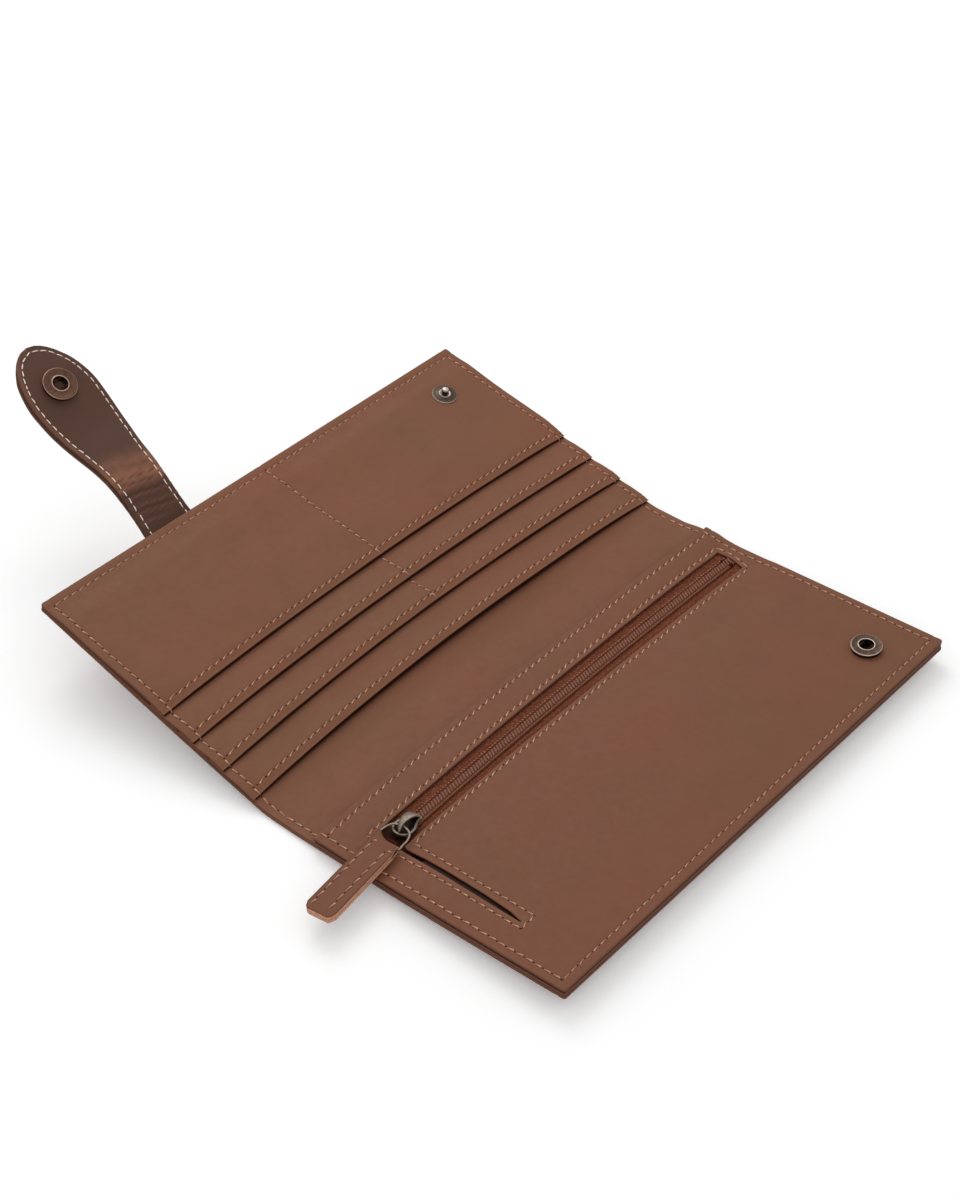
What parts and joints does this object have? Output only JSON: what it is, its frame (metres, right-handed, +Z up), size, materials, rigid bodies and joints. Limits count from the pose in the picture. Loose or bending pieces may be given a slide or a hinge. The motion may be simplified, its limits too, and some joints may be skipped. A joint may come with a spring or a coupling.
{
  "type": "long bifold wallet",
  "caption": "Long leather wallet lying open: card slots on one half, a zip pocket with a leather pull on the other, and a snap strap on the outer edge.",
  "frame": {"origin": "middle of the spine cover's underside, on the surface that the open wallet lies on", "axes": "+X from the card half towards the zip half, +Y along the spine towards the end with the closure snap, +Z up"},
  "size_m": [0.2802, 0.2143, 0.0645],
  "materials": {
    "leather": "satin brown leather with a fine grain",
    "strap_leather": "satin dark brown leather",
    "lining": "thin smooth brown leather",
    "pocket_cloth": "matt woven cloth",
    "zip_tape": "matt woven tape",
    "zip_teeth": "satin moulded plastic",
    "slider_metal": "antique nickel",
    "snap_metal": "antique copper plating",
    "spring_metal": "bright spring wire"
  },
  "bodies": {
    "spine": {"cover_spine": "leather", "lining_spine": "lining"},
    "card_half": {"cover_card": "leather", "lining_card": "lining", "note_pocket_strip": "leather", "note_pocket_leaf": "pocket_cloth", "lower_card_strip": "leather", "lower_card_leaf": "pocket_cloth", "upper_card_strip": "leather", "upper_card_leaf": "pocket_cloth", "card_panel": "leather", "closure_stud": "snap_metal", "closure_stud_back": "snap_metal", "strap_root": "strap_leather"},
    "zip_half": {"cover_zip": "leather", "zip_pocket_back": "lining", "slit_pocket_leaf": "pocket_cloth", "zip_panel": "leather", "zip_tape_left": "zip_tape", "zip_tape_right": "zip_tape", "zip_chain_left": "zip_teeth", "zip_chain_right": "zip_teeth", "zip_stop_closed": "zip_tape", "zip_stop_open": "zip_tape", "closure_socket": "snap_metal", "closure_spring": "spring_metal", "closure_socket_back": "snap_metal", "strap_stud": "snap_metal", "strap_stud_back": "snap_metal"},
    "slider": {"slider_body": "slider_metal"},
    "bail": {"bail": "slider_metal"},
    "pull": {"pull": "leather"},
    "strap_riser": {"strap_riser_face": "strap_leather", "strap_riser_back": "strap_leather"},
    "strap_tab": {"strap_tab_face": "strap_leather", "strap_tab_back": "strap_leather", "strap_socket": "snap_metal", "strap_spring": "spring_metal", "strap_cap": "snap_metal"}
  },
  "joints": [
    {"name": "card_fold", "type": "hinge", "parent": "spine", "child": "card_half", "pos_m": [-0.006, 0, 0.0011], "axis": [0, 1, 0], "range_deg": [-11.55, 77.7]},
    {"name": "zip_fold", "type": "hinge", "parent": "spine", "child": "zip_half", "pos_m": [0.006, 0, 0.0011], "axis": [0, -1, 0], "range_deg": [0, 88.43]},
    {"name": "strap_lift", "type": "hinge", "parent": "card_half", "child": "strap_riser", "pos_m": [-0.10614, -0.0386, 0.02349], "axis": [0, 1, 0], "range_deg": [-14.8, 61.3]},
    {"name": "strap_bend", "type": "hinge", "parent": "strap_riser", "child": "strap_tab", "pos_m": [-0.11951, -0.0386, 0.03553], "axis": [0, 1, 0], "range_deg": [0, 106]},
    {"name": "zip_slide", "type": "slide", "parent": "zip_half", "child": "slider", "axis": [-0.014, 0.9999, -0.0006], "range_m": [0, 0.1545], "deforming": ["zip_chain_left", "zip_chain_right"]},
    {"name": "bail_flip", "type": "hinge", "parent": "slider", "child": "bail", "pos_m": [0.03266, -0.07739, 0.0069], "axis": [-0.9911, -0.1253, -0.0444], "range_deg": [0, 180]},
    {"name": "pull_fold", "type": "hinge", "parent": "bail", "child": "pull", "pos_m": [0.03377, -0.08612, 0.00695], "axis": [0.9911, 0.1253, 0.0444], "range_deg": [-120, 0]}
  ]
}
